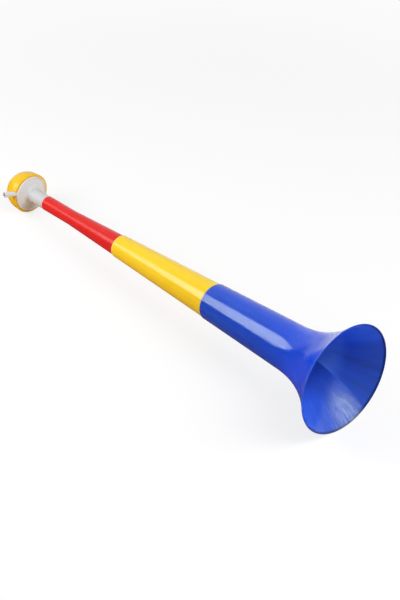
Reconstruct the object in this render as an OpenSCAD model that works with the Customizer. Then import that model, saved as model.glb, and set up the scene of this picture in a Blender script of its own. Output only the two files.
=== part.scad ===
// Telescoping fan horn: three tapered tubes that lock into one another by their taper,
// and a membrane head with a side tube to blow into and a push-on domed cap.
// Millimetres, +Z up. The horn lies on a table on its bell's rim and its domed cap, bell
// towards +X. The origin is on the table, under the middle of the horn.

/* [Bell section] */
// Outer radius of the bell's mouth
bell_r = 60; // [52:0.5:64]
// Length of the bell section along the horn
bell_length = 189; // [180:0.5:205]
// Length of the flare at the mouth
flare_length = 76; // [65:1:90]
// Power of the flare's curve: higher opens later and wider
flare_power = 2.25; // [2:0.05:2.5]
// Outer radius of the bell section's narrow end
bell_end_r = 20.5; // [20.3:0.1:21.5]

/* [Inner sections] */
// Length of the middle section that shows when the horn is pulled out
middle_length = 153.5; // [140:0.5:156]
// Length of the mouth section that shows when the horn is pulled out
mouth_length = 132; // [126:0.5:140]
// Length by which each section stays inside the next one
overlap = 18; // [12:0.5:24]
// Outer radius of the mouth section's straight end
mouth_end_r = 8.65; // [8.5:0.05:9]
// Fall of the radius per millimetre of length, shared by all three sections
taper = 0.0432; // [0.0405:0.0001:0.0436]
// Wall thickness of the sections
wall = 0.7; // [0.6:0.05:0.75]
// Radial gap between pieces that slide or turn in one another
running_gap = 0.06; // [0.03:0.01:0.1]

/* [Head body] */
// Length of the neck, from the mouth section's end to the cap's lip
neck_length = 31.5; // [29:0.5:36]
// Outer radius of the neck at the mouth section
neck_start_r = 8.3; // [8:0.05:8.5]
// Outer radius of the neck at the drum
neck_end_r = 8.6; // [8.3:0.05:8.9]
// Radius of the fillet between neck and drum
neck_fillet = 4; // [3:0.1:4.5]
// Outer radius of the drum
drum_r = 20.9; // [20.5:0.1:21.5]
// Depth of the drum behind the cap's lip
drum_depth = 14.3; // [13.5:0.1:15]
// Radius of the sound passage
sound_r = 6.4; // [5:0.1:6.6]
// Wall thickness of the head body
head_wall = 1.2; // [1:0.05:1.3]

/* [Blow tube] */
// Outer radius of the blow tube
tube_r = 3.15; // [2.9:0.05:3.2]
// Radius of its passage
tube_bore_r = 2.4; // [1.8:0.1:2.5]
// Distance of its tip from the horn's axis
tube_reach = 37; // [33:0.5:45]
// Turn of the tube about the horn's axis, from straight up
tube_turn = -71; // [-110:1:110]

/* [Cap] */
// Outer radius of the cap's lip
lip_r = 23.7; // [23.5:0.1:23.8]
// Width of the lip along the horn
lip_width = 3.4; // [2.6:0.1:4]
// Radius of the dome
dome_r = 23.3; // [23.2:0.05:23.8]
// Distance of the dome's centre behind the lip
dome_back = 7.6; // [7:0.1:8.5]
// Wall thickness of the dome
dome_wall = 1.1; // [0.9:0.05:1.3]

/* [Hidden] */
// Places along the horn's axis, counted from the plane of the mouth
middle_end = bell_length + middle_length;
mouth_end = middle_end + mouth_length;
lip_z = mouth_end + neck_length;
drum_end = lip_z + drum_depth;
dome_z = lip_z + dome_back;

// Each section is a fit inside the one before it, so its radius is one step smaller
radial_wall = wall * sqrt(1 + taper * taper);
section_step = radial_wall + running_gap;
function cone_r(z) = bell_end_r + taper * (bell_length - z);

// The flare adds a power curve to the cone, and its wall has the same thickness everywhere
flare_rise = bell_r - cone_r(0);
function flare_part(z) = max(0, 1 - z / flare_length);
function bell_outer_r(z) = cone_r(z) + flare_rise * pow(flare_part(z), flare_power);
function bell_slope(z) =
    taper + flare_power * flare_rise / flare_length * pow(flare_part(z), flare_power - 1);
function bell_inner_r(z) = bell_outer_r(z) - wall * sqrt(1 + pow(bell_slope(z), 2));
flare_steps = 24;
flare_crowding = 1.4;

// The mouth section's cone runs into a straight end that takes the head's spigot
straight_z = bell_length + (bell_end_r - 2 * section_step - mouth_end_r) / taper;
spigot_r = mouth_end_r - wall - running_gap;
spigot_length = 22;
spigot_chamfer = 0.8;
shoulder_gap = 0.1;

// The drum's front rises gently from its rounded rim to the fillet at the neck
rim_bead_r = 0.8;
rim_proud = 1.5;
face_rise = 2.3;
drum_inner_r = drum_r - head_wall;
sound_tube_r = sound_r + head_wall;
face_r = neck_end_r + neck_fillet;
face_edge_z = lip_z - rim_proud + rim_bead_r;
face_z = face_edge_z - face_rise;
arc_steps = 12;

// The blow tube lies just behind the drum's front, in a socket inside the drum
tube_back = 3.3;
tube_z = lip_z + tube_back;
socket_wall = 0.7;
socket_start = 14.5;
socket_end = drum_r - head_wall / 2;
tube_stop = socket_start + 1.5;
tip_bead_r = 0.5;

// The film lies on the drum's edge and on the sound tube, and the cap's seat holds it there
film_t = 0.15;
film_r = drum_r - 0.4;
seat_gap = 0.05;
seat_z = drum_end + film_t + seat_gap;
seat_r = drum_inner_r - 0.8;
seat_depth = 1.6;
skirt_r = drum_r + running_gap;
lip_edge = 0.8;
notch_r = tube_r + 0.3;

// Lying down: the table touches the edge of the mouth and the dome
lie_angle = acos(dome_r / norm([bell_r, dome_z])) - atan2(dome_z, bell_r);
mouth_height = bell_r * cos(lie_angle);
mouth_x = (dome_z * cos(lie_angle) + dome_r - bell_r * sin(lie_angle)) / 2;

round_fn = 96;
cut = 1;
far = 100;

// The horn's own axis is Z from the mouth to the cap, and X is up when it lies on a table
module laid() {
    translate([mouth_x, 0, mouth_height])
        rotate([0, -90 - lie_angle, 0])
            children();
}

module revolve(outline) {
    rotate_extrude($fn = round_fn)
        polygon(outline);
}

// A stretch of the blow tube's line between two distances from the horn's axis
module along_tube(start, end, r) {
    rotate([0, 90, tube_turn])
        translate([-tube_z, 0, start])
            cylinder(r = r, h = end - start, $fn = round_fn);
}

function arc(centre, r, from, to) = [
    for (i = [0:arc_steps])
        let (a = from + (to - from) * i / arc_steps)
            centre + r * [cos(a), sin(a)]
];

module bell_section() {
    flare = [for (i = [0:flare_steps]) flare_length * pow(i / flare_steps, flare_crowding)];
    heights = concat(flare, [bell_length]);
    outer = [for (z = heights) [bell_outer_r(z), z]];
    inner = [for (i = [len(heights) - 1:-1:0]) [bell_inner_r(heights[i]), heights[i]]];
    color("royalblue") laid() revolve(concat(outer, inner));
}

// A plain cone between two heights, a number of fits inside the bell's own cone
function section_outline(start, end, fits) = [
    for (side = [0, 1], z = side == 0 ? [start, end] : [end, start])
        [cone_r(z) - fits * section_step - side * radial_wall, z]
];

module middle_section() {
    color("gold") laid() revolve(section_outline(bell_length - overlap, middle_end, 1));
}

module mouth_section() {
    cone = section_outline(middle_end - overlap, straight_z, 2);
    straight = [[mouth_end_r, mouth_end], [mouth_end_r - wall, mouth_end]];
    color("red") laid() revolve(concat([cone[0], cone[1]], straight, [cone[2], cone[3]]));
}

function head_outline() =
    let (
        spigot_start = mouth_end - spigot_length,
        shoulder_z = mouth_end + shoulder_gap,
        neck = [
            [sound_r, spigot_start],
            [spigot_r - spigot_chamfer / 2, spigot_start],
            [spigot_r, spigot_start + spigot_chamfer],
            [spigot_r, shoulder_z],
            [neck_start_r, shoulder_z]
        ],
        fillet = arc([face_r, face_z - neck_fillet], neck_fillet, 180, 90),
        rim = arc([drum_r - rim_bead_r, face_edge_z], rim_bead_r, 180, 360),
        drum = [
            [drum_r, drum_end],
            [drum_inner_r, drum_end],
            [drum_inner_r, face_edge_z + head_wall],
            [face_r, face_z + head_wall],
            [sound_tube_r, face_z + head_wall],
            [sound_tube_r, drum_end],
            [sound_r, drum_end]
        ]
    )
    concat(neck, fillet, rim, drum);

module head_body() {
    color("whitesmoke") laid() difference() {
        union() {
            revolve(head_outline());
            along_tube(socket_start, socket_end, tube_r + socket_wall);
        }
        along_tube(tube_stop, far, tube_r);
        along_tube(socket_start - cut, far, tube_bore_r);
    }
}

module blow_tube() {
    color("white") laid() rotate([0, 90, tube_turn]) translate([-tube_z, 0, 0])
        rotate_extrude($fn = round_fn) {
            translate([tube_bore_r, tube_stop])
                square([tube_r - tube_bore_r, tube_reach - tip_bead_r - tube_stop]);
            translate([tube_r, tube_reach - tip_bead_r])
                circle(tip_bead_r, $fn = round_fn);
        }
}

module diaphragm() {
    color("lightgray") laid() translate([0, 0, drum_end])
        cylinder(r = film_r, h = film_t, $fn = round_fn);
}

// Half of a circle on the axis, behind a given height
module dome_half(r, from_z) {
    intersection() {
        translate([0, dome_z]) circle(r, $fn = round_fn);
        translate([0, from_z]) square(far);
    }
}

module lip_profile() {
    translate([0, lip_z + lip_edge]) square([lip_r, lip_width - 2 * lip_edge]);
    translate([0, lip_z]) square([lip_r - lip_edge, lip_width]);
    for (z = [lip_edge, lip_width - lip_edge])
        translate([lip_r - lip_edge, lip_z + z]) circle(lip_edge, $fn = round_fn);
}

module dome_cap() {
    color("gold") laid() difference() {
        rotate_extrude($fn = round_fn) difference() {
            union() {
                dome_half(dome_r, lip_z);
                lip_profile();
            }
            translate([0, lip_z - cut]) square([skirt_r, seat_z - lip_z + cut]);
            square([seat_r, seat_z + seat_depth]);
            dome_half(dome_r - dome_wall, seat_z + seat_depth);
        }
        along_tube(seat_r, far, notch_r);
        rotate([0, 0, tube_turn]) translate([seat_r, -notch_r, lip_z - cut])
            cube([far, 2 * notch_r, tube_back + cut]);
    }
}

bell_section();
middle_section();
mouth_section();
head_body();
blow_tube();
diaphragm();
dome_cap();
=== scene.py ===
"""Looks of the telescoping fan horn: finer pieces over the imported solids, moulded plastic finishes,
a pale floor, soft studio light and a camera. Metres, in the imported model's own frame."""
import math

import bmesh
import bpy
from bpy.props import FloatProperty, FloatVectorProperty, IntProperty, PointerProperty
from mathutils import Matrix, Vector


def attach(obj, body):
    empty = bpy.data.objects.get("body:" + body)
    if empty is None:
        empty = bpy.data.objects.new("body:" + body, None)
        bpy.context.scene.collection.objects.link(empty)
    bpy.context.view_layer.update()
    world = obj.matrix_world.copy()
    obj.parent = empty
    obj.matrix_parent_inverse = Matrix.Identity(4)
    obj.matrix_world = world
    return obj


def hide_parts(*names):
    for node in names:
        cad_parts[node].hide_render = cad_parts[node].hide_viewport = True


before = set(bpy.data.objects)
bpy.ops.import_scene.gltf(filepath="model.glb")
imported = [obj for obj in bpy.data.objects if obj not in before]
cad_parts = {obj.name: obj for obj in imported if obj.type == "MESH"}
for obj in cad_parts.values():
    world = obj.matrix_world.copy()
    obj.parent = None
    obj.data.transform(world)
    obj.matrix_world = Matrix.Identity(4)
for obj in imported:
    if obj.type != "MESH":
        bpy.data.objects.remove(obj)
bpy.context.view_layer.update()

bl_info = {
    "name": "Fan horn",
    "version": (1, 0, 0),
    "blender": (4, 5, 0),
    "location": "3D View > Sidebar > Fan horn",
    "description": "Builds a telescoping plastic fan horn with a membrane head over its packed solids",
    "category": "Object",
}

MM = 0.001

# Head: spigot, shoulder and the drum's rounded, gently rising front
SPIGOT_LENGTH = 22 * MM
SPIGOT_CHAMFER = 0.8 * MM
SHOULDER_GAP = 0.1 * MM
RIM_BEAD = 0.8 * MM
RIM_PROUD = 1.5 * MM
FACE_RISE = 2.3 * MM
HEAD_EDGE = 0.2 * MM

# Blow tube and its socket: how far behind the lip, then starts and stops from the horn's axis
TUBE_BACK = 3.3 * MM
TUBE_STOP = 16 * MM
TUBE_EDGE = 0.1 * MM
TIP_BEAD = 0.5 * MM
SOCKET_WALL = 0.7 * MM
SOCKET_START = 14.5 * MM

# Film, and the cap's seat that holds it
FILM_T = 0.15 * MM
FILM_EDGE = 0.05 * MM
FILM_INSET = 0.4 * MM
SEAT_GAP = 0.05 * MM
SEAT_INSET = 0.8 * MM
SEAT_DEPTH = 1.6 * MM
SEAT_EDGE = 0.15 * MM

# Cap: lip, skirt, notch for the blow tube and the nub that the sprue leaves on the pole
LIP_EDGE = 0.8 * MM
SKIRT_EDGE = 0.25 * MM
NOTCH_GAP = 0.3 * MM
NOTCH_FRONT = 6 * MM
NOTCH_REACH = 40 * MM
NOTCH_STEPS = 24
NUB_R = 0.85 * MM
NUB_FOOT_R = 0.9 * MM
NUB_RISE = 0.12 * MM
NUB_EDGE = 0.06 * MM

# Segments round the turned pieces
HEAD_SEGMENTS = 128
TUBE_SEGMENTS = 64
FILM_SEGMENTS = 96
CAP_SEGMENTS = 144

# The seam inside the bell: its angle at the mouth, and its turn per metre further in
SEAM_ANGLE = 2.66
SEAM_TWIST = 6.0

# Stage
FLOOR_HALF = 12.0
FRONT_FLOOR = (0.8, 0.76, 0.74)
DARK_CARD = (0.16, 0.09, 0.12)
LIT_FLOOR = (0.95, 0.95, 0.95, 1.0)
WHITE = (1.0, 1.0, 1.0, 1.0)
HORN_AXIS = Vector((0.9975, 0, 0.0712))
FILL_FROM = (0.8, 0.35, 0.48)
CARD_FROM = (-0.72, -0.69, 0.0)


# Node trees written as Python expressions

class Wire:
    """One output socket. Arithmetic on it adds Math nodes to its tree."""

    def __init__(self, graph, socket):
        self.graph, self.socket = graph, socket

    def __add__(self, other):
        return self.graph.math("ADD", self, other)

    def __radd__(self, other):
        return self.graph.math("ADD", other, self)

    def __sub__(self, other):
        return self.graph.math("SUBTRACT", self, other)

    def __rsub__(self, other):
        return self.graph.math("SUBTRACT", other, self)

    def __mul__(self, other):
        return self.graph.math("MULTIPLY", self, other)

    def __rmul__(self, other):
        return self.graph.math("MULTIPLY", other, self)

    def __truediv__(self, other):
        return self.graph.math("DIVIDE", self, other)

    def __rtruediv__(self, other):
        return self.graph.math("DIVIDE", other, self)

    def __pow__(self, other):
        return self.graph.math("POWER", self, other)

    def __rpow__(self, other):
        return self.graph.math("POWER", other, self)

    def __neg__(self):
        return self.graph.math("MULTIPLY", self, -1.0)


class Made:
    """A new node. Its outputs are taken by name or number."""

    def __init__(self, graph, node):
        self.graph, self.node = graph, node

    def __getitem__(self, key):
        return Wire(self.graph, self.node.outputs[key])


class Graph:
    """A node tree that grows by calls."""

    def __init__(self, tree):
        self.tree = tree

    def node(self, kind, settings=None, sockets=None):
        """Any node: its type, its settings, then the values or links of its sockets."""
        made = self.tree.nodes.new(kind)
        for key, value in (settings or {}).items():
            setattr(made, key, value)
        for key, value in (sockets or {}).items():
            if isinstance(value, Wire):
                self.tree.links.new(value.socket, made.inputs[key])
            else:
                made.inputs[key].default_value = value
        return Made(self, made)

    def math(self, operation, *values):
        return self.node("ShaderNodeMath", {"operation": operation}, dict(enumerate(values)))["Value"]

    def step(self, value, low, high, out_low=0.0, out_high=1.0):
        """A smooth step from one value to another."""
        sockets = {"Value": value, "From Min": low, "From Max": high, "To Min": out_low, "To Max": out_high}
        return self.node("ShaderNodeMapRange", {"interpolation_type": "SMOOTHSTEP"}, sockets)["Result"]

    def blend(self, factor, first, second):
        """Two colours, each plain or a wire, mixed by a factor."""
        first, second = (c if isinstance(c, Wire) else (*c, 1.0) for c in (first, second))
        sockets = {"Factor": factor, "A": first, "B": second}
        return self.node("ShaderNodeMix", {"data_type": "RGBA"}, sockets)["Result"]

    def mixed(self, factor, first, second):
        """Two shaders mixed by a factor."""
        return self.node("ShaderNodeMixShader", None, {"Fac": factor, 1: first, 2: second})["Shader"]

    def vector(self, x, y, z):
        return self.node("ShaderNodeCombineXYZ", None, {"X": x, "Y": y, "Z": z})["Vector"]

    def parts(self, vector):
        """A node whose outputs are the vector's X, Y and Z."""
        return self.node("ShaderNodeSeparateXYZ", None, {"Vector": vector})

    def facing(self, vector, direction):
        """How far a vector points in a direction."""
        sockets = {0: vector, 1: direction}
        return self.node("ShaderNodeVectorMath", {"operation": "DOT_PRODUCT"}, sockets)["Value"]

    def noise(self, vector, scale, detail=2.0, roughness=0.5):
        sockets = {"Vector": vector, "Scale": scale, "Detail": detail, "Roughness": roughness}
        return self.node("ShaderNodeTexNoise", None, sockets)[0]


# Sizes, colours and the stage, as a user would change them

def size_mm(name, description, millimetres):
    return FloatProperty(name=name, description=description, default=millimetres * MM,
                         unit="LENGTH", precision=5)


def colour(name, description, shade):
    return FloatVectorProperty(name=name, description=description, default=shade,
                               subtype="COLOR", min=0, max=1)


def angle(name, description, degrees):
    return FloatProperty(name=name, description=description, default=math.radians(degrees), subtype="ANGLE")


class HornBellSizes(bpy.types.PropertyGroup):
    mouth_r: size_mm("Mouth radius", "Outer radius of the bell's mouth", 60)
    length: size_mm("Length", "Length of the bell section along the horn", 189)
    flare_length: size_mm("Flare length", "Length of the flare at the mouth", 76)
    flare_power: FloatProperty(name="Flare power", description="Power of the flare's curve", default=2.25)
    end_r: size_mm("End radius", "Outer radius of the narrow end", 20.5)
    taper: FloatProperty(name="Taper", description="Fall of the radius per length of all sections",
                         default=0.0432)
    wall: size_mm("Wall", "Wall thickness of the sections", 0.7)
    edge: size_mm("Edge", "Radius of the rounded edges of the sections", 0.28)
    rings: IntProperty(name="Rings", description="Rings of each wall of the bell", default=72, min=8)
    segments: IntProperty(name="Segments", description="Segments around the horn", default=160, min=24)


class HornSectionSizes(bpy.types.PropertyGroup):
    middle: size_mm("Middle section", "Length of the middle section that shows", 153.5)
    mouth: size_mm("Mouth section", "Length of the mouth section that shows", 132)
    overlap: size_mm("Overlap", "Length by which each section stays inside the next", 18)
    end_r: size_mm("Straight end", "Outer radius of the mouth section's straight end", 8.65)
    gap: size_mm("Running gap", "Radial gap between pieces that slide or turn in one another", 0.06)


class HornHeadSizes(bpy.types.PropertyGroup):
    neck: size_mm("Neck length", "From the mouth section's end to the cap's lip", 31.5)
    neck_start_r: size_mm("Neck start radius", "Outer radius of the neck at the mouth section", 8.3)
    neck_end_r: size_mm("Neck end radius", "Outer radius of the neck at the drum", 8.6)
    fillet: size_mm("Neck fillet", "Radius of the fillet between neck and drum", 4)
    drum_r: size_mm("Drum radius", "Outer radius of the drum", 20.9)
    drum_depth: size_mm("Drum depth", "Depth of the drum behind the cap's lip", 14.3)
    sound_r: size_mm("Sound passage", "Radius of the sound passage", 6.4)
    wall: size_mm("Head wall", "Wall thickness of the head body", 1.2)
    tube_r: size_mm("Blow tube radius", "Outer radius of the blow tube", 3.15)
    bore_r: size_mm("Blow tube passage", "Radius of the blow tube's passage", 2.4)
    reach: size_mm("Blow tube reach", "Distance of the blow tube's tip from the horn's axis", 37)
    turn: angle("Blow tube turn", "Turn of the blow tube from straight up", -71)


class HornCapSizes(bpy.types.PropertyGroup):
    lip_r: size_mm("Lip radius", "Outer radius of the cap's lip", 23.7)
    lip_width: size_mm("Lip width", "Width of the lip along the horn", 3.4)
    dome_r: size_mm("Dome radius", "Radius of the dome", 23.3)
    dome_back: size_mm("Dome back", "Distance of the dome's centre behind the lip", 7.6)
    wall: size_mm("Dome wall", "Wall thickness of the dome", 1.1)


class HornFinishes(bpy.types.PropertyGroup):
    bell: colour("Bell", "Colour of the bell section", (0.006, 0.09, 0.78))
    middle: colour("Middle section", "Colour of the middle section", (0.95, 0.64, 0.009))
    mouth: colour("Mouth section", "Colour of the mouth section", (0.71, 0.009, 0.006))
    head: colour("Head", "Colour of the head body and the blow tube", (0.82, 0.81, 0.8))
    cap: colour("Cap", "Colour of the domed cap", (0.93, 0.56, 0.004))
    film: colour("Film", "Colour of the film", (0.72, 0.72, 0.7))


class HornStage(bpy.types.PropertyGroup):
    camera_at: FloatVectorProperty(name="Camera", description="Place of the camera", subtype="TRANSLATION",
                                   unit="LENGTH", default=(1.04344, -0.89538, 1.08211))
    azimuth: angle("Azimuth", "Turn of the camera about the upright axis", 47.809)
    elevation: angle("Elevation", "Angle of the camera's view below the horizon", 38.108)
    lens: FloatProperty(name="Lens", description="Focal length on a 36 mm long side", default=96.0,
                        unit="CAMERA")
    side_power: FloatProperty(name="Side light", description="Power of the side light", default=9.9,
                              unit="POWER")
    top_power: FloatProperty(name="Top light", description="Power of the top light", default=31.0,
                             unit="POWER")
    ambient: FloatProperty(name="Ambient", description="Strength of the light from all around", default=0.12)
    fill: FloatProperty(name="Fill", description="Strength of the light from the bell's side", default=0.34)
    floor: colour("Floor", "Colour of the floor that light bounces from", (0.66, 0.45, 0.23))


class HornSettings(bpy.types.PropertyGroup):
    bell: PointerProperty(type=HornBellSizes, name="Bell", description="Sizes of the bell section")
    sections: PointerProperty(type=HornSectionSizes, name="Sections",
                              description="Sizes of the inner sections")
    head: PointerProperty(type=HornHeadSizes, name="Head", description="Sizes of the head and the blow tube")
    cap: PointerProperty(type=HornCapSizes, name="Cap", description="Sizes of the cap")
    finishes: PointerProperty(type=HornFinishes, name="Finishes", description="Colours of the pieces")
    stage: PointerProperty(type=HornStage, name="Stage", description="Camera, light and floor")


# Places along the horn. Its own frame: Z from the mouth to the cap, X up where it lies on the floor

class Places:
    """What follows from the sizes."""

    def __init__(self, settings):
        bell, sections, head, cap = settings.bell, settings.sections, settings.head, settings.cap
        self.middle_end = bell.length + sections.middle
        self.mouth_end = self.middle_end + sections.mouth
        self.lip = self.mouth_end + head.neck
        self.drum_end = self.lip + head.drum_depth
        self.dome = self.lip + cap.dome_back
        self.seat = self.drum_end + FILM_T + SEAT_GAP
        self.radial_wall = bell.wall * math.hypot(1, bell.taper)
        self.step = self.radial_wall + sections.gap
        reach = math.hypot(bell.mouth_r, self.dome)
        lie = math.acos(cap.dome_r / reach) - math.atan2(self.dome, bell.mouth_r)
        c, s = math.cos(lie), math.sin(lie)
        mouth = ((self.dome * c + cap.dome_r - bell.mouth_r * s) / 2, 0, bell.mouth_r * c)
        self.laid = Matrix(((-s, 0, -c, mouth[0]), (0, 1, 0, 0), (c, 0, -s, mouth[2]), (0, 0, 0, 1)))
        across = Matrix.Rotation(head.turn, 4, "Z") @ Matrix.Rotation(math.pi / 2, 4, "Y")
        self.tube_laid = self.laid @ Matrix.Translation((0, 0, self.lip + TUBE_BACK)) @ across


# Profiles. A point is (radius, height, edge radius, inner), the last two optional

ARC_STEPS = 4
SUPPORT = 0.5 * MM


def arc(centre, r, start, end, steps):
    """Points of an arc from one angle to another, in degrees."""
    turns = [math.radians(start + (end - start) * i / steps) for i in range(steps + 1)]
    return [(centre[0] + r * math.cos(a), centre[1] + r * math.sin(a)) for a in turns]


def rounded(points, closed):
    """The profile with its edges rounded, as (radius, height, on an edge, inner)."""
    points = [(*p, 0.0, 0.0)[:4] for p in points]
    done = []
    for i, (r, z, edge, inner) in enumerate(points):
        here = Vector((r, z))
        if not edge or (not closed and i in (0, len(points) - 1)):
            done.append((r, z, 0.0, inner))
            continue
        before = Vector(points[i - 1][:2]) - here
        after = Vector(points[(i + 1) % len(points)][:2]) - here
        half = before.angle(after) / 2
        back = edge / math.tan(half)
        to_before, to_after = before.normalized(), after.normalized()
        centre = here + (to_before + to_after).normalized() * (edge / math.sin(half))
        first, last = here + to_before * back - centre, here + to_after * back - centre
        spokes = [first.slerp(last, k / ARC_STEPS).normalized() for k in range(ARC_STEPS + 1)]
        if before.length > 2 * back + SUPPORT:
            done.append((*(here + to_before * (back + SUPPORT)), 0.0, inner))
        done += [(*(centre + spoke * edge), 1.0, inner) for spoke in spokes]
        if after.length > 2 * back + SUPPORT:
            done.append((*(here + to_after * (back + SUPPORT)), 0.0, inner))
    return done


def profile_mesh(name, points, closed):
    """A polyline in the XY plane that carries the edge and inner values."""
    mesh = bpy.data.meshes.new(name)
    links = [(i, i + 1) for i in range(len(points) - 1)]
    if closed:
        links.append((len(points) - 1, 0))
    mesh.from_pydata([(p[0], p[1], 0.0) for p in points], links, [])
    for key, column in (("edge", 2), ("inner", 3)):
        mesh.attributes.new(key, "FLOAT", "POINT").data.foreach_set("value", [p[column] for p in points])
    return mesh


# Geometry Nodes: a lathe, and the bell whose outline follows the flare's rule

PATH_R = 30 * MM
WELD = 0.001 * MM


def group_inputs(tree, sockets):
    for name, kind in sockets:
        tree.interface.new_socket(name, in_out="INPUT", socket_type=kind)
    tree.interface.new_socket("Geometry", in_out="OUTPUT", socket_type="NodeSocketGeometry")


def turned(g, profile, segments, material):
    """Sweeps a profile round the axis, closes its poles and gives it its material."""
    path = g.node("GeometryNodeCurvePrimitiveCircle", {"mode": "RADIUS"},
                  {"Resolution": segments, "Radius": PATH_R})["Curve"]
    moved = g.node("GeometryNodeSetPosition", None,
                   {"Geometry": profile, "Offset": (-PATH_R, 0, 0)})["Geometry"]
    skin = g.node("GeometryNodeCurveToMesh", None, {"Curve": path, "Profile Curve": moved})["Mesh"]
    closed = g.node("GeometryNodeMergeByDistance", None, {"Geometry": skin, "Distance": WELD})["Geometry"]
    plain = g.node("GeometryNodeRealizeInstances", None, {"Geometry": closed})["Geometry"]
    dressed = g.node("GeometryNodeSetMaterial", None, {"Geometry": plain, "Material": material})["Geometry"]
    g.node("NodeGroupOutput", None, {"Geometry": dressed})


def lathe_tree():
    """Any round piece but the bell: a profile mesh turned round the axis."""
    tree = bpy.data.node_groups.new("lathe", "GeometryNodeTree")
    group_inputs(tree, [("Profile", "NodeSocketGeometry"), ("Segments", "NodeSocketInt"),
                        ("Material", "NodeSocketMaterial")])
    g = Graph(tree)
    given = g.node("NodeGroupInput")
    profile = g.node("GeometryNodeMeshToCurve", None, {"Mesh": given["Profile"]})["Curve"]
    turned(g, profile, given["Segments"], given["Material"])
    return tree


def flare_tree():
    """The bell: a cone, plus a power curve that opens it at the mouth, with a wall of even thickness."""
    tree = bpy.data.node_groups.new("flared_bell", "GeometryNodeTree")
    sizes = ("Mouth Radius", "End Radius", "Length", "Flare Length", "Flare Power", "Taper", "Wall",
             "Edge Radius")
    group_inputs(tree, [("Geometry", "NodeSocketGeometry")] + [(s, "NodeSocketFloat") for s in sizes]
                 + [("Rings", "NodeSocketInt"), ("Segments", "NodeSocketInt"),
                    ("Material", "NodeSocketMaterial")])
    g = Graph(tree)
    given = g.node("NodeGroupInput")
    rings, full, edge = given["Rings"], given["Length"], given["Edge Radius"]
    power, reach = given["Flare Power"], given["Flare Length"]
    # The outline is one closed loop: its points run up the outer wall and back down the inner one
    loop = g.node("GeometryNodeCurvePrimitiveCircle", {"mode": "RADIUS"}, {"Resolution": rings * 2})["Curve"]
    index = g.node("GeometryNodeInputIndex")["Index"]
    inner = g.math("GREATER_THAN", index, rings - 0.5)
    ring = index - inner * rings
    ring = ring + inner * (rings - 1 - ring * 2)
    mouth_corner = g.math("COMPARE", ring, 0.0, 0.1)
    end_corner = g.math("COMPARE", ring, rings - 1, 0.1)
    corner = mouth_corner + end_corner
    swing = g.math("COSINE", (ring - 1) / (rings - 3) * math.pi)
    between = edge * 2 + (full - edge * 4) * (0.5 - swing * 0.5)
    height = between * (1 - corner) + full * end_corner
    open_part = g.math("MAXIMUM", 1 - height / reach, 0.0)
    cone = given["End Radius"] + given["Taper"] * (full - height)
    rise = given["Mouth Radius"] - (given["End Radius"] + given["Taper"] * full)
    outer_r = cone + rise * open_part ** power
    slope = given["Taper"] + power * rise / reach * open_part ** (power - 1)
    wall = given["Wall"] * g.math("SQRT", slope * slope + 1)
    place = g.vector(outer_r - inner * wall, -height, 0.0)
    shaped = g.node("GeometryNodeSetPosition", None, {"Geometry": loop, "Position": place})["Geometry"]
    for name, value in (("inner", inner), ("edge", corner)):
        shaped = g.node("GeometryNodeStoreNamedAttribute", {"data_type": "FLOAT", "domain": "POINT"},
                        {"Geometry": shaped, "Name": name, "Value": value})["Geometry"]
    soft = g.node("GeometryNodeFilletCurve", {"mode": "POLY"},
                  {"Curve": shaped, "Radius": corner * edge, "Count": ARC_STEPS,
                   "Limit Radius": True})["Curve"]
    turned(g, soft, given["Segments"], given["Material"])
    return tree


def grown(name, mesh, tree, values):
    """A new object whose mesh is what the tree makes of a mesh and its inputs."""
    piece = bpy.data.objects.new(name, mesh)
    bpy.context.scene.collection.objects.link(piece)
    modifier = piece.modifiers.new(name, "NODES")
    modifier.node_group = tree
    keys = {item.name: item.identifier for item in tree.interface.items_tree if item.in_out == "INPUT"}
    for key, value in values.items():
        modifier[keys[key]] = value
    baked(piece)
    return piece


def baked(piece):
    """Turns a piece's modifiers into a plain mesh."""
    bpy.context.view_layer.update()
    graph = bpy.context.evaluated_depsgraph_get()
    mesh = bpy.data.meshes.new_from_object(piece.evaluated_get(graph), depsgraph=graph)
    mesh.name = piece.name
    piece.modifiers.clear()
    piece.data = mesh


def combined(piece, other, operation):
    """Adds another shape to a piece, or takes it out of it."""
    modifier = piece.modifiers.new("cut", "BOOLEAN")
    modifier.object, modifier.operation, modifier.solver = other, operation, "EXACT"
    baked(piece)
    bpy.data.objects.remove(other)


def smoothed(piece, degrees=32):
    """Welds the points that a cut leaves together, turns the faces outwards and shades them
    smooth but for sharp edges."""
    shell = bmesh.new()
    shell.from_mesh(piece.data)
    bmesh.ops.remove_doubles(shell, verts=shell.verts, dist=WELD)
    if shell.calc_volume(signed=True) < 0:
        bmesh.ops.reverse_faces(shell, faces=shell.faces)
    for face in shell.faces:
        face.smooth = True
    for edge in shell.edges:
        edge.smooth = edge.calc_face_angle(math.pi) < math.radians(degrees)
    shell.to_mesh(piece.data)
    shell.free()


def turned_piece(name, points, closed, material, segments, laid):
    """A lathe piece in its place."""
    points = [(r, -z, *rest) for r, z, *rest in rounded(points, closed)]
    tree = bpy.data.node_groups.get("lathe") or lathe_tree()
    values = {"Segments": segments, "Material": material}
    piece = grown(name, profile_mesh(name, points, closed), tree, values)
    piece.data.transform(laid)
    smoothed(piece)
    return piece


def hand_over(piece, body, node):
    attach(piece, body)
    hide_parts(node)


# Finishes

def scaled(shade, share):
    """A colour made darker or brighter."""
    return tuple(c * share for c in shade)


def toned(shade, tone):
    """A colour whose channels each have a share of their own."""
    return tuple(c * share for c, share in zip(shade, tone))


def tinted(shade, share, tint):
    """A colour scaled, with another added to it."""
    return tuple(min(c * share + t, 1.0) for c, t in zip(shade, tint))


def paled(shade, share):
    """A colour moved towards white."""
    return tuple(c + (1 - c) * share for c in shade)


def new_material(name):
    material = bpy.data.materials.new(name)
    material.use_nodes = True
    material.node_tree.nodes.clear()
    return material, Graph(material.node_tree)


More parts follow.
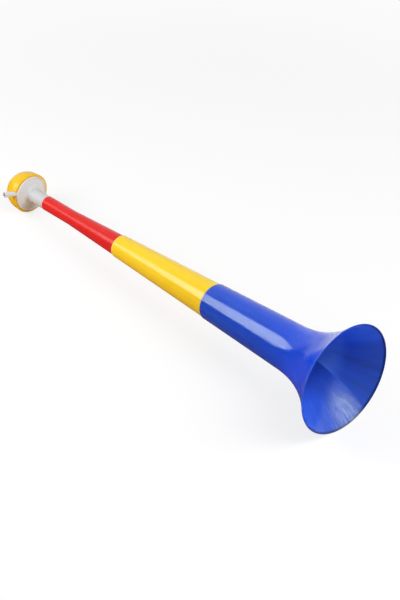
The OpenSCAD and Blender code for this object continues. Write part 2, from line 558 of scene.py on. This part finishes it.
def horn_frame(g, laid):
    """A point in the horn's own frame, its height, its distance from the axis and its direction from it."""
    back = laid.inverted()
    sockets = {"Vector": g.node("ShaderNodeTexCoord")["Object"], "Location": back.translation,
               "Rotation": back.to_euler("XYZ")}
    at = g.node("ShaderNodeMapping", {"vector_type": "POINT"}, sockets)["Vector"]
    parts = g.parts(at)
    x, y, z = parts["X"], parts["Y"], parts["Z"]
    off = g.math("SQRT", x * x + y * y) + 1e-6
    return at, z, off, x / off, y / off


def attribute(g, name):
    return g.node("ShaderNodeAttribute", {"attribute_name": name})["Fac"]


def end_sheen(g, z, end, inner):
    """1 on the outer edge of a section's narrow end, where a paler band is painted as a highlight."""
    return g.step(z, end - 1.4 * MM, end - 0.4 * MM) * (1 - inner)


def plastic(g, base, roughness, height, soft=0.0, reach=(1.0, 1.0, 1.0), shine=0.33, tint=(1.0, 1.0, 1.0)):
    """Principled plastic with bump heights in millimetres. Soft plastic lets light reach into it."""
    normal = g.node("ShaderNodeBump", None, {"Strength": 1.0, "Distance": MM, "Height": height})["Normal"]
    sockets = {"Base Color": base, "Roughness": roughness, "Specular IOR Level": shine,
               "Specular Tint": (*tint, 1.0), "Normal": normal, "Subsurface Weight": soft,
               "Subsurface Radius": reach, "Subsurface Scale": MM}
    return g.node("ShaderNodeBsdfPrincipled", None, sockets)["BSDF"]


def finish(g, shader):
    g.node("ShaderNodeOutputMaterial", None, {"Surface": shader})


def tube_plastic(name, shade, laid, end, streaks, gloss, shine):
    """Glossy moulded tube: pigment drawn out along the flow, rubbed lengthwise, with painted highlights on
    its edges and end.
    """
    material, g = new_material(name)
    at, z, _, cx, cy = horn_frame(g, laid)
    edge, inner = attribute(g, "edge"), attribute(g, "inner")
    flow = g.noise(g.vector(cx, cy, z * 4), 5.0, 3.0, 0.6)
    cloud = g.noise(at, 55.0, 2.0)
    tint = g.step(flow * 0.65 + cloud * 0.35, 0.3, 0.7)
    pale = tuple(c + (1 - c) * 0.01 + c * streaks * 0.5 for c in shade)
    base = g.blend(tint, scaled(shade, 1 - streaks), pale)
    hair = g.noise(g.vector(cx, cy, z * 1.5), 150.0, 2.0, 0.6)
    rubbed = g.step(hair, 0.62, 0.75) * g.step(g.noise(at, 38.0, 2.0), 0.45, 0.65)
    # Rubbed scuffs are wear; the paler rounded edges and narrow end are painted highlights.
    wear_and_sheen = edge * 0.45 + rubbed * 0.05 + end_sheen(g, z, end, inner) * 0.5
    base = g.blend(wear_and_sheen, base, paled(shade, 0.25))
    roughness = gloss + cloud * 0.05 + rubbed * 0.14 + edge * 0.08 + inner * 0.1
    wave, peel = g.noise(at, 28.0, 1.0), g.noise(at, 700.0, 1.0)
    finish(g, plastic(g, base, roughness, wave * 0.1 + peel * 0.002 - rubbed * 0.003, shine=shine))
    return material


def bell_plastic(name, shade, laid, end):
    """The bell's plastic: as the tubes outside, and inside with a seam, two sectors to either hand of it
    painted with their own light and shade, flow lines that run out to the rim, and painted shade and
    highlight at the lip."""
    material, g = new_material(name)
    at, z, off, cx, cy = horn_frame(g, laid)
    edge, inner = attribute(g, "edge"), attribute(g, "inner")
    flow = g.noise(g.vector(cx, cy, z * 5), 4.0, 3.0, 0.6)
    cloud = g.noise(at, 40.0, 2.0)
    rays = g.noise(g.vector(cx, cy, z * 2), 5.0, 2.0, 0.55)
    fine = g.noise(g.vector(cx, cy, z * 2.5), 42.0, 2.0, 0.6)
    pure = toned(shade, (1.5, 0.87, 1.13))
    outside = g.blend(g.step(flow * 0.5 + cloud * 0.5, 0.3, 0.7), scaled(pure, 0.9), scaled(pure, 1.06))

    past_seam = g.math("ARCTAN2", cy, cx) - SEAM_ANGLE + z * SEAM_TWIST
    round_seam = g.math("WRAP", past_seam, 2 * math.pi, 0.0)
    glow_sector = g.step(past_seam, -0.03, 0.03, 1.0, 0.0) * g.step(past_seam, -4.2, -3.0)
    seam = g.step(g.math("ABSOLUTE", past_seam) * off, 0.3 * MM, 0.9 * MM, 1.0, 0.0) * inner

    def side(mouth, throat, tint, lift, start, stop):
        """Painted light and shade of one sector: dim to bright at the mouth by its lift, and painted shade or
        glow further in.
        """
        at_mouth = g.blend(lift, *(tinted(shade, share, (0.02, 0.02, 0.02)) for share in mouth))
        further_in = g.blend(lift, *(tinted(shade, share, tint) for share in throat))
        return g.blend(g.step(z, start * MM, stop * MM), at_mouth, further_in)

    # Painted light and shade: the dim sector is brighter away from the seam, the glowing sector towards the
    # top; deeper in, the first is painted darker and the second with a teal glow.
    ray = g.step(rays, 0.3, 0.7)
    dim_sector_colour = side((0.56, 0.96), (0.58, 0.58), (0.02, 0.014, 0.014),
                 ray * 0.5 + g.step(round_seam, 0.5, 1.3) * 0.5, 22, 48)
    glow_sector_colour = side((0.46, 1.25), (0.95, 1.25), (0.09, 0.115, 0.05),
                ray * 0.3 + g.step(cx, -0.1, 0.6) * 0.7, 26, 50)
    base = g.blend(inner, outside, g.blend(glow_sector, dim_sector_colour, glow_sector_colour))

    # Flow lines near the mouth, away from the seam: real bumps and roughness, and a slightly paler base that
    # is a painted highlight.
    feather_zone = g.step(g.noise(at, 45.0, 2.0), 0.35, 0.55) * inner * (1 - glow_sector)
    feather_zone = feather_zone * g.step(round_seam, 0.6, 1.1, 1.0, 0.1)
    feather = g.step(fine, 0.48, 0.66) * g.step(off, 28 * MM, 46 * MM) * feather_zone
    # Painted highlight: a paler band on the outside of the lip.
    painted_lip_sheen = g.step(z, 3.0 * MM, 8.0 * MM, 1.0, 0.0) * (1 - inner)
    wear_and_sheen = feather * 0.08 + seam * 0.08 + painted_lip_sheen * 0.14 + end_sheen(g, z, end, inner) * 0.6
    base = g.blend(wear_and_sheen, base, paled(shade, 0.2))
    # Painted shade: the inside of the lip darkened to deep blue.
    rim = g.step(z, 1.0 * MM, 2.2 * MM, 1.0, 0.0)
    base = g.blend(rim * inner * 0.85, base, scaled(shade, 0.12))
    hair = g.noise(g.vector(cx, cy, z * 2), 170.0, 2.0, 0.6)
    rubbed = g.step(hair, 0.63, 0.76) * g.step(g.noise(at, 34.0, 2.0), 0.46, 0.66) * (1 - inner)
    roughness = 0.1 + cloud * 0.04 + rubbed * 0.12 + edge * 0.1 + inner * (0.06 + rays * 0.04) + feather * 0.2
    wave = g.noise(at, 22.0, 1.0)
    height = wave * 0.1 + inner * rays * 0.25 + feather * 0.1 + seam * 0.03 - rubbed * 0.003
    soft, reach = 0.8, (1.0, 2.5, 5.0)
    glossy = plastic(g, base, roughness, height, soft, reach, 0.41, (0.84, 1.0, 0.86))
    dull = plastic(g, base, 0.55, height, soft, reach, 0.12)
    finish(g, g.mixed(glow_sector * inner, glossy, dull))
    return material


def satin_plastic(name, shade, laid, drum):
    """The head's off-white plastic: satin, with a fine moulded grain, painted greyer on the neck as shade and
    paler on its edges as a highlight.
    """
    material, g = new_material(name)
    at, z, *_ = horn_frame(g, laid)
    edge = attribute(g, "edge")
    cloud = g.noise(at, 90.0, 3.0)
    grain = g.noise(at, 1500.0, 2.0)
    bright, cool = toned(shade, (0.96, 0.97, 0.99)), toned(shade, (0.88, 0.92, 0.98))
    base = g.blend(g.step(cloud, 0.35, 0.7), bright, cool)
    # Painted shade: the neck is painted greyer than the drum.
    neck = g.step(z, drum - 9 * MM, drum - 3 * MM, 1.0, 0.0)
    base = g.blend(neck, base, toned(shade, (0.68, 0.7, 0.74)))
    # Painted highlight: rounded edges brighter.
    base = g.blend(edge * 0.3, base, scaled(shade, 1.08))
    roughness = 0.3 + cloud * 0.08 + grain * 0.05
    finish(g, plastic(g, base, roughness, cloud * 0.03 + grain * 0.004, 0.5, (1.5, 1.5, 1.5)))
    return material


def cap_plastic(name, shade, laid, pole):
    """The cap's plastic: glossy, with pigment drawn out from the pole, a duller sprue nub on it and painted
    highlights on its edges.
    """
    material, g = new_material(name)
    at, z, off, cx, cy = horn_frame(g, laid)
    edge = attribute(g, "edge")
    cloud = g.noise(at, 70.0, 3.0)
    flow = g.noise(g.vector(cx, cy, z * 12), 3.0, 3.0, 0.6)
    tint = g.step(flow * 0.5 + cloud * 0.5, 0.32, 0.68)
    base = g.blend(tint, scaled(shade, 0.88), tinted(shade, 0.98, (0.002, 0.002, 0.002)))
    behind = g.math("GREATER_THAN", z, pole - 4 * MM)
    sprue = g.step(off, NUB_R, 1.0 * MM, 1.0, 0.0) * behind
    # Painted highlight on the rounded edges; the sprue nub is paler in itself.
    base = g.blend(edge * 0.35 + sprue * 0.2, base, paled(shade, 0.25))
    roughness = 0.15 + cloud * 0.07 + edge * 0.08 + sprue * 0.3
    height = cloud * 0.04 + g.noise(at, 800.0, 1.0) * 0.003
    finish(g, plastic(g, base, roughness, height))
    return material


def film_plastic(name, shade, laid):
    """The film: milky, with faint wrinkles that run out from its middle."""
    material, g = new_material(name)
    at, _, off, cx, cy = horn_frame(g, laid)
    cloud = g.noise(at, 200.0, 3.0)
    wrinkles = g.noise(g.vector(cx, cy, off * 20), 6.0, 2.0)
    base = g.blend(cloud, scaled(shade, 0.92), shade)
    finish(g, plastic(g, base, 0.25 + cloud * 0.15, wrinkles * 0.08))
    return material


# Operators

class HORN_OT_stage(bpy.types.Operator):
    """Adds the camera, the floor, the lights and the world"""
    bl_idname = "horn.stage"
    bl_label = "Stage"

    def execute(self, context):
        stage = context.scene.fan_horn.stage
        context.scene.view_settings.view_transform = "Standard"
        self.add_camera(context, stage)
        self.add_floor(context, stage)
        self.add_lights(context, stage)
        self.add_world(context, stage)
        return {"FINISHED"}

    def add_camera(self, context, stage):
        data = bpy.data.cameras.new("camera")
        data.lens, data.sensor_width = stage.lens, 36.0
        data.clip_start, data.clip_end = 0.05, 50.0
        camera = bpy.data.objects.new("camera", data)
        a, e = stage.azimuth, stage.elevation
        ahead = Vector((-math.sin(a) * math.cos(e), math.cos(a) * math.cos(e), -math.sin(e)))
        camera.location = stage.camera_at
        camera.rotation_euler = ahead.to_track_quat("-Z", "Y").to_euler()
        context.scene.collection.objects.link(camera)
        context.scene.camera = camera

    def sent(self, g):
        """1 for rays that gloss and glass send on."""
        path = g.node("ShaderNodeLightPath")
        return g.math("MAXIMUM", path["Is Glossy Ray"], path["Is Transmission Ray"])

    def seen(self, g, carded):
        """1 for rays from the camera, and for those sent on, less where a dark card stands."""
        from_camera = g.node("ShaderNodeLightPath")["Is Camera Ray"]
        return g.math("MAXIMUM", from_camera, self.sent(g) * (1 - carded))

    def add_floor(self, context, stage):
        """A floor that looks white, keeps the shadow and bounces warm light, whiter in front of the mouth."""
        mesh = bpy.data.meshes.new("floor")
        corners = [(x * FLOOR_HALF, y * FLOOR_HALF, 0) for x, y in ((-1, -1), (1, -1), (1, 1), (-1, 1))]
        mesh.from_pydata(corners, [], [(0, 1, 2, 3)])
        floor = bpy.data.objects.new("floor", mesh)
        material, g = new_material("pale_floor")
        at = g.node("ShaderNodeTexCoord")["Object"]
        place = g.parts(at)
        warm = g.blend(g.noise(at, 3.0, 2.0), scaled(stage.floor, 0.98), tuple(stage.floor))
        bounced = g.blend(g.step(place["X"], 0.28, 0.42), warm, FRONT_FLOOR)
        bounced = g.blend(self.sent(g), bounced, DARK_CARD)
        bounce = g.node("ShaderNodeBsdfDiffuse", None, {"Color": bounced})["BSDF"]
        lit = g.node("ShaderNodeBsdfDiffuse", None, {"Color": LIT_FLOOR})["BSDF"]
        glow = g.node("ShaderNodeEmission", None, {"Color": WHITE, "Strength": 1.0})["Emission"]
        away = g.node("ShaderNodeVectorMath", {"operation": "LENGTH"}, {0: at})["Value"]
        near = 0.1 + g.node("ShaderNodeLightPath")["Is Camera Ray"] * 0.68
        white = g.mixed(g.step(away, 0.4, 1.0, near, 1.0), lit, glow)
        carded = g.step(place["Y"], -5 * MM, 40 * MM, 0.9, 0.0)
        finish(g, g.mixed(self.seen(g, carded), bounce, white))
        material.cycles.emission_sampling = "NONE"
        mesh.materials.append(material)
        context.scene.collection.objects.link(floor)

    def add_light(self, context, name, power, size, aim, away, distance, shift, turn, shape):
        """A softbox that faces a point of the horn, shifted along and across it and turned in its own plane.
        Its shape gives the strength at a place on it, across and up from 0 to 1."""
        away = Vector(away).normalized()
        along = (HORN_AXIS - away * HORN_AXIS.dot(away)).normalized()
        across = away.cross(along)
        at = Vector(aim) + away * distance + along * shift[0] + across * shift[1]
        wide = along * turn[0] + across * turn[1]
        data = bpy.data.lights.new(name, "AREA")
        data.shape, data.size, data.size_y, data.energy = "RECTANGLE", size[0], size[1], power
        data.use_nodes = True
        data.node_tree.nodes.clear()
        g = Graph(data.node_tree)
        spot = g.parts(g.node("ShaderNodeNewGeometry")["Parametric"])
        glow = g.node("ShaderNodeEmission", None, {"Strength": shape(g, spot["X"], spot["Y"])})["Emission"]
        g.node("ShaderNodeOutputLight", None, {"Surface": glow})
        lamp = bpy.data.objects.new(name, data)
        turned_to = Matrix((wide, away.cross(wide), away)).transposed()
        lamp.matrix_world = Matrix.Translation(at) @ turned_to.to_4x4()
        context.scene.collection.objects.link(lamp)

    def add_lights(self, context, stage):
        self.add_light(context, "side_light", stage.side_power, size=(0.54, 0.75), aim=(0.01, 0, 0.042),
                       away=(-0.667, -0.48, 0.57), distance=0.9, shift=(0.105, -0.22), turn=(0.835, 0.55),
                       shape=lambda g, x, y: (g.math("MINIMUM", x * 0.75 - y * 1.125 + 1.375, 1.0)
                                              * g.step(y, 0.0, 0.5, 0.2)))
        self.add_light(context, "top_light", stage.top_power, size=(0.75, 1.4), aim=(0.25, 0, 0.05),
                       away=(0.53, 0.35, 0.78), distance=1.2, shift=(0.075, -0.1), turn=(1.0, 0.0),
                       shape=lambda g, x, y: x * (1 - x) * y * (1 - y) * 16)

    def add_world(self, context, stage):
        """Soft light that is stronger from the bell's side, in front of white, with a low dark card."""
        world = bpy.data.worlds.new("studio")
        world.use_nodes = True
        world.node_tree.nodes.clear()
        g = Graph(world.node_tree)
        way = g.node("ShaderNodeTexCoord")["Generated"]
        soft = g.math("MAXIMUM", g.facing(way, FILL_FROM) * stage.fill + stage.ambient, 0.0)
        low = g.step(g.parts(way)["Z"], 0.1, 0.3, 0.85, 0.0)
        carded = low * g.step(g.facing(way, CARD_FROM), 0.4, 0.85)
        strength = g.math("MAXIMUM", soft, self.seen(g, carded))
        light = g.node("ShaderNodeBackground", None, {"Color": WHITE, "Strength": strength})["Background"]
        g.node("ShaderNodeOutputWorld", None, {"Surface": light})
        context.scene.world = world


class HORN_OT_bell(bpy.types.Operator):
    """Builds the flared bell section"""
    bl_idname = "horn.bell"
    bl_label = "Bell section"

    def execute(self, context):
        settings = context.scene.fan_horn
        bell, places = settings.bell, Places(settings)
        material = bell_plastic("bell_gloss", tuple(settings.finishes.bell), places.laid, bell.length)
        values = {"Mouth Radius": bell.mouth_r, "End Radius": bell.end_r, "Length": bell.length,
                  "Flare Length": bell.flare_length, "Flare Power": bell.flare_power, "Taper": bell.taper,
                  "Wall": bell.wall, "Edge Radius": bell.edge, "Rings": bell.rings,
                  "Segments": bell.segments, "Material": material}
        piece = grown("bell", bpy.data.meshes.new("bell"), flare_tree(), values)
        piece.data.transform(places.laid)
        smoothed(piece)
        hand_over(piece, "bell", "bell_section")
        return {"FINISHED"}


class HORN_OT_sections(bpy.types.Operator):
    """Builds the middle and the mouth section"""
    bl_idname = "horn.sections"
    bl_label = "Inner sections"

    def execute(self, context):
        settings = context.scene.fan_horn
        bell, sections, places = settings.bell, settings.sections, Places(settings)
        finishes = settings.finishes

        def wall_at(z, fits):
            """Outer and inner radius of a cone that is a number of fits inside the bell's own."""
            outer = bell.end_r + bell.taper * (bell.length - z) - fits * places.step
            return outer, outer - places.radial_wall

        def tube(name, stations, material):
            """A tube through stations, each a height, its outer and inner radius and its edge radius."""
            outer = [(o, z, e, 0.0) for z, (o, i), e in stations]
            inner = [(i, z, e, 1.0) for z, (o, i), e in reversed(stations)]
            return turned_piece(name, outer + inner, True, material, bell.segments, places.laid)

        start, end = bell.length - sections.overlap, places.middle_end
        material = tube_plastic("middle_gloss", tuple(finishes.middle), places.laid, end, 0.05, 0.16, 0.33)
        piece = tube("middle_tube", [(z, wall_at(z, 1), bell.edge) for z in (start, end)], material)
        hand_over(piece, "middle", "middle_section")

        start, end = places.middle_end - sections.overlap, places.mouth_end
        bend = bell.length + (bell.end_r - 2 * places.step - sections.end_r) / bell.taper
        straight = (sections.end_r, sections.end_r - bell.wall)
        stations = [(start, wall_at(start, 2), bell.edge), (bend, straight, 0.0), (end, straight, bell.edge)]
        material = tube_plastic("mouth_gloss", tuple(finishes.mouth), places.laid, end, 0.06, 0.23, 0.28)
        piece = tube("mouth_tube", stations, material)
        hand_over(piece, "mouth", "mouth_section")
        return {"FINISHED"}


class HORN_OT_head(bpy.types.Operator):
    """Builds the head body and the blow tube in its side"""
    bl_idname = "horn.head"
    bl_label = "Head and blow tube"

    def execute(self, context):
        settings = context.scene.fan_horn
        head, places = settings.head, Places(settings)
        material = satin_plastic("head_satin", tuple(settings.finishes.head), places.laid, places.lip)
        piece = self.add_body(settings, places, material)
        hand_over(piece, "head", "head_body")
        tip = head.reach - TIP_BEAD
        points = [(head.bore_r, TUBE_STOP, TUBE_EDGE, 1.0), (head.bore_r, tip, 0.0, 1.0)]
        points += arc((head.tube_r, tip), TIP_BEAD, 180, -90, 18)
        points += [(head.tube_r, TUBE_STOP, TUBE_EDGE)]
        piece = turned_piece("blow_spout", points, True, material, TUBE_SEGMENTS, places.tube_laid)
        hand_over(piece, "head", "blow_tube")
        return {"FINISHED"}

    def add_body(self, settings, places, material):
        """Spigot, neck, drum and sound tube in one, with the blow tube's socket and its stepped hole."""
        head, sections, bell = settings.head, settings.sections, settings.bell
        spigot_r = sections.end_r - bell.wall - sections.gap
        spigot_z, shoulder_z = places.mouth_end - SPIGOT_LENGTH, places.mouth_end + SHOULDER_GAP
        edge_z = places.lip - RIM_PROUD + RIM_BEAD
        face_r, face_z = head.neck_end_r + head.fillet, edge_z - FACE_RISE
        chamber_r, pipe_r = head.drum_r - head.wall, head.sound_r + head.wall
        points = [(head.sound_r, spigot_z, HEAD_EDGE, 1.0), (spigot_r - SPIGOT_CHAMFER / 2, spigot_z),
                  (spigot_r, spigot_z + SPIGOT_CHAMFER), (spigot_r, shoulder_z),
                  (head.neck_start_r, shoulder_z, HEAD_EDGE)]
        points += arc((face_r, face_z - head.fillet), head.fillet, 180, 90, 14)
        points += arc((head.drum_r - RIM_BEAD, edge_z), RIM_BEAD, 180, 360, 14)
        points += [(head.drum_r, places.drum_end, HEAD_EDGE), (chamber_r, places.drum_end, HEAD_EDGE, 1.0),
                   (chamber_r, edge_z + head.wall, 0.0, 1.0), (face_r, face_z + head.wall, 0.0, 1.0),
                   (pipe_r, face_z + head.wall, 0.0, 1.0), (pipe_r, places.drum_end, HEAD_EDGE, 1.0),
                   (head.sound_r, places.drum_end, HEAD_EDGE, 1.0)]
        body = turned_piece("head_shell", points, True, material, HEAD_SEGMENTS, places.laid)
        socket_r, socket_end = head.tube_r + SOCKET_WALL, head.drum_r - head.wall / 2
        socket = [(0, SOCKET_START), (socket_r, SOCKET_START), (socket_r, socket_end), (0, socket_end)]
        hole_start = SOCKET_START - MM
        hole = [(0, hole_start), (head.bore_r, hole_start), (head.bore_r, TUBE_STOP),
                (head.tube_r, TUBE_STOP), (head.tube_r, head.reach), (0, head.reach)]
        for name, outline, operation in (("socket", socket, "UNION"), ("hole", hole, "DIFFERENCE")):
            shape = turned_piece(name, outline, False, material, TUBE_SEGMENTS, places.tube_laid)
            combined(body, shape, operation)
        smoothed(body)
        return body


class HORN_OT_film(bpy.types.Operator):
    """Builds the film that lies on the drum's edge"""
    bl_idname = "horn.film"
    bl_label = "Film"

    def execute(self, context):
        settings = context.scene.fan_horn
        places = Places(settings)
        material = film_plastic("film_milky", tuple(settings.finishes.film), places.laid)
        r, low = settings.head.drum_r - FILM_INSET, places.drum_end
        high = low + FILM_T
        points = [(0, low), (r * 0.5, low), (r, low, FILM_EDGE), (r, high, FILM_EDGE), (r * 0.5, high),
                  (0, high)]
        piece = turned_piece("film", points, False, material, FILM_SEGMENTS, places.laid)
        hand_over(piece, "head", "diaphragm")
        return {"FINISHED"}


class HORN_OT_cap(bpy.types.Operator):
    """Builds the domed cap with its lip and the notch for the blow tube"""
    bl_idname = "horn.cap"
    bl_label = "Domed cap"

    def execute(self, context):
        settings = context.scene.fan_horn
        head, cap, places = settings.head, settings.cap, Places(settings)
        lip, dome, pole = places.lip, (0, places.dome), places.dome + cap.dome_r
        lip_back, lip_bend_r = lip + cap.lip_width, cap.lip_r - LIP_EDGE
        material = cap_plastic("cap_gloss", tuple(settings.finishes.cap), places.laid, pole)
        skirt_r, seat_r = head.drum_r + settings.sections.gap, head.drum_r - head.wall - SEAT_INSET
        inside_r, ring_z = cap.dome_r - cap.wall, places.seat + SEAT_DEPTH
        start = math.degrees(math.asin((lip_back - places.dome) / cap.dome_r))
        inner_start = math.degrees(math.asin((ring_z - places.dome) / inside_r))
        nub_z = pole + NUB_RISE
        points = [(0.0, nub_z), (NUB_R, nub_z, NUB_EDGE), (NUB_FOOT_R, pole)]
        points += arc(dome, cap.dome_r, 90, start, 40)[1:]
        points += arc((lip_bend_r, lip_back - LIP_EDGE), LIP_EDGE, 85, 0, 8)
        points += arc((lip_bend_r, lip + LIP_EDGE), LIP_EDGE, 0, -90, 8)
        points += [(skirt_r, lip, SKIRT_EDGE), (skirt_r, places.seat, 0.0, 1.0),
                   (seat_r, places.seat, SEAT_EDGE, 1.0), (seat_r, ring_z, SEAT_EDGE, 1.0)]
        points += [(*p, 0.0, 1.0) for p in arc(dome, inside_r, inner_start, 90, 24)[:-1]]
        points += [(0.0, places.dome + inside_r, 0.0, 1.0)]
        piece = turned_piece("cap_dome", points, False, material, CAP_SEGMENTS, places.laid)
        combined(piece, self.add_notch(places, head.tube_r + NOTCH_GAP, seat_r), "DIFFERENCE")
        smoothed(piece)
        hand_over(piece, "cap", "dome_cap")
        return {"FINISHED"}

    def add_notch(self, places, notch_r, start):
        """The space of the notch: a half circle round the blow tube, open to the front of the lip."""
        turns = [math.pi * i / NOTCH_STEPS for i in range(NOTCH_STEPS + 1)]
        outline = [(notch_r * math.cos(a), notch_r * math.sin(a)) for a in turns]
        outline += [(-notch_r, -NOTCH_FRONT), (notch_r, -NOTCH_FRONT)]
        shell = bmesh.new()
        shell.faces.new([shell.verts.new((-v, u, start)) for u, v in outline])
        drawn_out = bmesh.ops.extrude_face_region(shell, geom=shell.faces[:])["geom"]
        moved = [v for v in drawn_out if isinstance(v, bmesh.types.BMVert)]
        bmesh.ops.translate(shell, vec=(0, 0, NOTCH_REACH - start), verts=moved)
        bmesh.ops.recalc_face_normals(shell, faces=shell.faces)
        mesh = bpy.data.meshes.new("notch")
        shell.to_mesh(mesh)
        shell.free()
        mesh.transform(places.tube_laid)
        notch = bpy.data.objects.new("notch", mesh)
        bpy.context.scene.collection.objects.link(notch)
        return notch


class HORN_PT_panel(bpy.types.Panel):
    """Lists the horn's operators and settings"""
    bl_idname = "HORN_PT_panel"
    bl_label = "Fan horn"
    bl_space_type = "VIEW_3D"
    bl_region_type = "UI"
    bl_category = "Fan horn"

    def draw(self, context):
        settings = context.scene.fan_horn
        for operator in OPERATORS:
            self.layout.operator(operator.bl_idname)
        for name in settings.bl_rna.properties.keys():
            group = getattr(settings, name, None)
            if isinstance(group, bpy.types.PropertyGroup):
                box = self.layout.box()
                box.label(text=settings.bl_rna.properties[name].name)
                for key in group.__annotations__:
                    box.prop(group, key)


OPERATORS = (HORN_OT_stage, HORN_OT_bell, HORN_OT_sections, HORN_OT_head, HORN_OT_film, HORN_OT_cap)
GROUPS = (HornBellSizes, HornSectionSizes, HornHeadSizes, HornCapSizes, HornFinishes, HornStage, HornSettings)


def register():
    for item in (*GROUPS, *OPERATORS, HORN_PT_panel):
        bpy.utils.register_class(item)
    bpy.types.Scene.fan_horn = PointerProperty(type=HornSettings)


def unregister():
    del bpy.types.Scene.fan_horn
    for item in reversed((*GROUPS, *OPERATORS, HORN_PT_panel)):
        bpy.utils.unregister_class(item)


def main():
    register()
    bpy.ops.horn.stage()
    bpy.ops.horn.bell()
    bpy.ops.horn.sections()
    bpy.ops.horn.head()
    bpy.ops.horn.film()
    bpy.ops.horn.cap()


if __name__ == "__main__":
    main()
